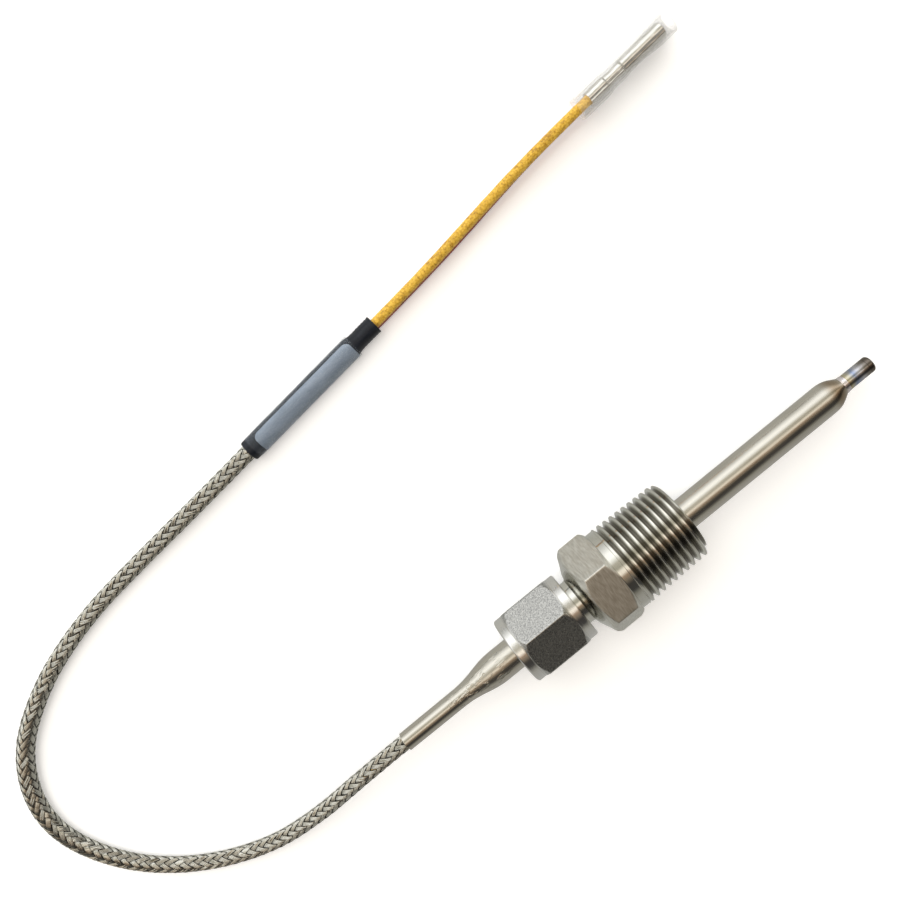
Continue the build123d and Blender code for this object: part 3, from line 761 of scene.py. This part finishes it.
def fibre(name, dark, body, bright, speck):
    """Impregnated glass-fibre braid with darker specks in its diamonds, and shade painted towards the borders
    of each diamond.
    """
    m = Shader(name, body, 0.0, 0.5)
    fine = m.noise(m.scaled((2400, 2400, 2400)), detail=4.0)
    patches = m.noise(m.scaled((420, 420, 420)), detail=3.0)
    cells = m.add("ShaderNodeTexVoronoi")
    m.link(m.scaled((12, 16, 1), "UV"), cells.inputs["Vector"])
    cells.inputs["Scale"].default_value = 1.0
    # painted shade: each diamond cell is light in its middle and dark towards its borders, between the yarns
    yarn_shaded = m.ramp(cells.outputs["Distance"], [(0.15, bright), (0.55, body), (0.85, dark)])
    grain = m.mix(m.ramp(fine, [(0.35, 0.0), (0.7, 1.0)]), yarn_shaded, bright)
    m.color(m.mix(m.ramp(m.mix(0.45, patches, fine), [(0.55, 0.0), (0.66, 0.8)]), grain, speck))
    m.roughness(m.ramp(fine, [(0.3, 0.32), (0.7, 0.6)]))
    m.bump(m.mix(0.5, fine, cells.outputs["Distance"]), 0.00010, 0.6)
    return m.material


@kept
def yellow_fibre():
    return fibre("yellow_fibre", dark=(0.32, 0.14, 0.01), body=(0.64, 0.35, 0.02),
                 bright=(0.90, 0.58, 0.08), speck=(0.28, 0.11, 0.01))


@kept
def red_fibre():
    return fibre("red_fibre", dark=(0.10, 0.01, 0.01), body=(0.28, 0.03, 0.02),
                 bright=(0.40, 0.07, 0.04), speck=(0.14, 0.01, 0.01))


@kept
def black_shrink():
    """Satin polyolefin with faint ribs and scuffs."""
    m = Shader("black_shrink", (0.008, 0.010, 0.015), 0.0, 0.38, Specular_IOR_Level=0.3)
    scuff = m.noise(m.scaled((180, 900, 900)), detail=5.0)
    fine = m.noise(m.scaled((1600, 1600, 1600)), detail=3.0)
    m.color(m.ramp(scuff, [(0.35, (0.006, 0.008, 0.013)), (0.7, (0.020, 0.024, 0.034))]))
    m.roughness(m.ramp(scuff, [(0.3, 0.28), (0.75, 0.52)]))
    m.bump(m.mix(0.5, scuff, fine), 0.00005, 0.4)
    return m.material


@kept
def label_film():
    """Silver-grey film under clear shrink."""
    m = Shader("label_film", (0.33, 0.38, 0.47), 0.0, 0.5, Coat_Weight=0.6, Coat_Roughness=0.12)
    cloud = m.noise(m.scaled((130, 420, 420)), detail=4.0)
    fine = m.noise(m.scaled((3000, 3000, 3000)), detail=3.0)
    tone = m.ramp(cloud, [(0.3, (0.15, 0.20, 0.27)), (0.7, (0.27, 0.33, 0.42))])
    m.color(m.mix(m.ramp(fine, [(0.45, 0.0), (0.7, 0.35)]), tone, (0.40, 0.46, 0.54)))
    m.roughness(m.ramp(fine, [(0.3, 0.35), (0.7, 0.55)]))
    m.bump(m.mix(0.5, cloud, fine), 0.00006, 0.35)
    return m.material


def clear_plastic(name, color, low, high, roughness):
    """Clear plastic whose rims and sides turn milky: low and high are its least and most opacity."""
    m = Shader(name, color, 0.0, roughness, Specular_IOR_Level=0.6)
    edge = m.add("ShaderNodeLayerWeight")
    edge.inputs["Blend"].default_value = 0.35
    haze = m.noise(m.scaled((300, 700, 700)), detail=4.0)
    milky = m.math("ADD", edge.outputs["Facing"], m.math("MULTIPLY", m.math("SUBTRACT", haze, 0.5), 0.25))
    alpha = m.ramp(milky, [(0.05, low), (0.75, high)])
    m.link(alpha, m.main.inputs["Alpha"])
    m.roughness(m.ramp(haze, [(0.3, roughness * 0.6), (0.7, roughness * 1.4)]))
    m.bump(haze, 0.00006, 0.3)
    return m.material


@kept
def clear_film():
    return clear_plastic("clear_film", (0.40, 0.46, 0.54), low=0.03, high=0.16, roughness=0.10)


@kept
def clear_sleeve():
    return clear_plastic("clear_sleeve", (0.97, 0.97, 0.96), low=0.05, high=0.28, roughness=0.16)


@kept
def tinned_sheet():
    """Tinned sheet: bright and softly streaked."""
    m = Shader("tinned_sheet", (0.74, 0.73, 0.70), 1.0, 0.3)
    streak = m.noise(m.scaled((300, 1500, 1500)), detail=4.0)
    m.color(m.ramp(streak, [(0.3, (0.68, 0.67, 0.63)), (0.7, (0.93, 0.92, 0.89))]))
    m.roughness(m.ramp(streak, [(0.3, 0.12), (0.75, 0.30)]))
    m.bump(streak, 0.00004, 0.4)
    return m.material


@kept
def drawn_wire():
    m = Shader("drawn_wire", (0.6, 0.52, 0.42), 1.0, 0.3)
    grain = m.noise(m.scaled((200, 4000, 4000)), detail=3.0)
    m.color(m.ramp(grain, [(0.3, (0.46, 0.40, 0.32)), (0.7, (0.70, 0.62, 0.52))]))
    m.bump(grain, 0.00002, 0.4)
    return m.material


@kept
def fired_clay():
    m = Shader("fired_clay", (0.86, 0.84, 0.78), 0.0, 0.8)
    grain = m.noise(m.scaled((1500, 1500, 1500)), detail=4.0)
    m.color(m.ramp(grain, [(0.3, (0.78, 0.75, 0.68)), (0.7, (0.90, 0.89, 0.84))]))
    m.bump(grain, 0.00004, 0.4)
    return m.material


def dress(piece, body, material, slot, *nodes):
    """Give a piece its material, its body and the CAD nodes that it stands for."""
    if material is not None:
        piece.data.materials.append(material)
    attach(piece, body)
    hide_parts(*nodes)
    return piece


def dress_node(name, material):
    """A CAD node whose shape is right keeps it and gets a detailed material."""
    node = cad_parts[name]
    for place in node.material_slots:
        place.link = "OBJECT"
        place.material = material


# -------------------------------------------------------------------- camera and studio
CAMERA_TILT, CAMERA_ROLL = math.radians(8.0), math.radians(39.2)
CAMERA_PLACE = (-0.011848, 0.079442, 0.228131)


def make_camera():
    """Looks down, tilted towards +Y, and turned so that the probe points up to the right."""
    data = bpy.data.cameras.new("camera")
    data.lens = 40.0
    data.sensor_width = 36.0
    data.clip_start = 0.01
    data.clip_end = 20.0
    camera = bpy.data.objects.new("camera", data)
    bpy.context.scene.collection.objects.link(camera)
    along = Vector((1.0, 0.0, 0.0))
    up = Vector((0.0, math.cos(CAMERA_TILT), -math.sin(CAMERA_TILT)))
    back = Vector((0.0, math.sin(CAMERA_TILT), math.cos(CAMERA_TILT)))
    right = along * math.cos(CAMERA_ROLL) - up * math.sin(CAMERA_ROLL)
    top = along * math.sin(CAMERA_ROLL) + up * math.cos(CAMERA_ROLL)
    camera.matrix_world = Matrix((
        (right.x, top.x, back.x, CAMERA_PLACE[0]),
        (right.y, top.y, back.y, CAMERA_PLACE[1]),
        (right.z, top.z, back.z, CAMERA_PLACE[2]),
        (0.0, 0.0, 0.0, 1.0),
    ))
    bpy.context.scene.camera = camera


def make_floor():
    """A wide pale table top under the hexagon's lowest flat."""
    mesh = bpy.data.meshes.new("floor")
    half, z = 3.0, TABLE_Z * MM - 0.0001
    corners = [(-half, -half, z), (half, -half, z), (half, half, z), (-half, half, z)]
    mesh.from_pydata(corners, [], [(0, 1, 2, 3)])
    floor = add_object("floor", mesh)
    floor.visible_glossy = False
    paper = Shader("paper", (0.93, 0.93, 0.93), 0.0, 0.9, Specular_IOR_Level=0.1)
    paper.main.inputs["Emission Color"].default_value = (1.0, 1.0, 1.0, 1.0)
    paper.main.inputs["Emission Strength"].default_value = 0.35
    floor.data.materials.append(paper.material)


def make_studio():
    """Soft tent round the probe's axis: bright window to +Y, narrow strip overhead, dark flag to -Y."""
    world = bpy.data.worlds.new("studio")
    bpy.context.scene.world = world
    world.use_nodes = True
    tree = world.node_tree
    tree.nodes.clear()
    place = tree.nodes.new("ShaderNodeTexCoord")
    split = tree.nodes.new("ShaderNodeSeparateXYZ")
    angle = tree.nodes.new("ShaderNodeMath")
    angle.operation = "ARCTAN2"
    share = tree.nodes.new("ShaderNodeMath")
    share.operation = "MULTIPLY_ADD"
    share.inputs[1].default_value = 0.5 / math.pi
    share.inputs[2].default_value = 0.5
    ramp = tree.nodes.new("ShaderNodeValToRGB")
    # degrees round the X axis from +Y, upwards
    stops = [
        (-180, (0.42, 0.41, 0.38)), (-90, (0.50, 0.50, 0.47)), (-30, (0.56, 0.55, 0.50)),
        (-10, (0.62, 0.61, 0.56)), (5, (0.85, 0.85, 0.82)), (15, (1.15, 1.15, 1.12)),
        (25, (1.5, 1.5, 1.48)), (38, (1.6, 1.6, 1.58)), (48, (1.25, 1.24, 1.18)),
        (58, (0.66, 0.62, 0.52)), (72, (0.50, 0.47, 0.38)), (80, (1.25, 1.15, 1.0)),
        (87, (1.25, 1.12, 0.95)), (95, (0.44, 0.31, 0.21)), (108, (0.22, 0.18, 0.135)),
        (119, (0.055, 0.05, 0.045)), (140, (0.06, 0.058, 0.055)), (150, (0.22, 0.21, 0.18)),
        (162, (0.38, 0.37, 0.33)), (180, (0.42, 0.41, 0.38)),
    ]
    elements = ramp.color_ramp.elements
    while len(elements) < len(stops):
        elements.new(0.5)
    for element, (degrees, color) in zip(elements, stops):
        element.position = 0.5 + degrees / 360
        element.color = (*color, 1.0)
    tent = tree.nodes.new("ShaderNodeBackground")
    plain = tree.nodes.new("ShaderNodeBackground")
    plain.inputs["Color"].default_value = (1.0, 1.0, 1.0, 1.0)
    ray = tree.nodes.new("ShaderNodeLightPath")
    either = tree.nodes.new("ShaderNodeMixShader")
    out = tree.nodes.new("ShaderNodeOutputWorld")
    for source, target in (
        (place.outputs["Generated"], split.inputs[0]), (split.outputs["Z"], angle.inputs[0]),
        (split.outputs["Y"], angle.inputs[1]), (angle.outputs[0], share.inputs[0]),
        (share.outputs[0], ramp.inputs["Fac"]), (ramp.outputs["Color"], tent.inputs["Color"]),
        (ray.outputs["Is Camera Ray"], either.inputs[0]), (tent.outputs[0], either.inputs[1]),
        (plain.outputs[0], either.inputs[2]), (either.outputs[0], out.inputs[0]),
    ):
        tree.links.new(source, target)
    light = bpy.data.lights.new("overhead", "AREA")
    light.shape = "DISK"
    light.size = 0.7
    light.energy = 4.0
    lamp = bpy.data.objects.new("overhead", light)
    lamp.location = (-0.15, 0.45, 0.9)
    lamp.rotation_euler = (Vector((0.0, 0.04, 0.0)) - lamp.location).to_track_quat("-Z", "Y").to_euler()
    lamp.visible_glossy = False
    bpy.context.scene.collection.objects.link(lamp)
    bpy.context.scene.view_settings.view_transform = "Standard"


# ------------------------------------------------------------------------------ build all
make_camera()
make_floor()
make_studio()

# each line runs on straight for a few millimetres inside its fittings
cable_line = Line(route_line(CABLE_ROUTE, 40), lead_in=4.0, lead_out=6.0)
yellow_line = Line(route_line(YELLOW_ROUTE, 40), lead_in=4.0, lead_out=3.0)
red_line = Line(route_line(RED_ROUTE, 40), lead_in=4.0, lead_out=3.0)

for charge, route in (("positive", YELLOW_ROUTE), ("negative", RED_ROUTE)):
    dress(terminal_piece(f"{charge}_receptacle", route), "probe", tinned_sheet(),
                              "tinned", f"{charge}_terminal")
    dress(guard_piece(f"{charge}_clear_sleeve", route), f"{charge}_sleeve",
                           clear_sleeve(), "clear_sleeve", f"{charge}_terminal_sleeve")

shrink = dress(shrink_piece(), "probe", black_shrink(), "black_shrink", "heat_shrink")
label = dress(label_piece(), "probe", label_film(), "label_film", "marker_label")
overwrap = dress(wrap_piece(), "probe", clear_film(), "clear_film", "clear_wrap")

cable = dress(cable_piece(cable_line), "probe", None, "wire_braid", "steel_braid", "cable_jacket")
yellow = dress(lead_piece("yellow_fibre_lead", yellow_line, yellow_fibre()), "probe", None,
               "yellow_fibre", "yellow_lead")
red = dress(lead_piece("red_fibre_lead", red_line, red_fibre()), "probe", None, "red_fibre", "red_lead")

dress(fitting_piece(), "fitting", turned_steel(), "stainless_turned", "fitting_body")
dress(nut_piece(), "nut", nut_steel(), "stainless_nut", "compression_nut")

for names, material in (
    (("protection_tube",), tube_steel()),
    (("tip_sheath", "tip_plug"), tip_steel()),
    (("weld_ring", "hot_junction"), weld_steel()),
    (("front_ferrule", "back_ferrule"), turned_steel()),
    (("positive_thermoelement", "negative_thermoelement", "positive_conductor", "negative_conductor"),
     drawn_wire()),
    (("positive_splice", "negative_splice"), tinned_sheet()),
    (("magnesia_core", "ceramic_beads"), fired_clay()),
    (("potting_seal",), under_braid()),
    (("positive_core",), yellow_fibre()),
    (("negative_core",), red_fibre()),
):
    for name in names:
        dress_node(name, material)
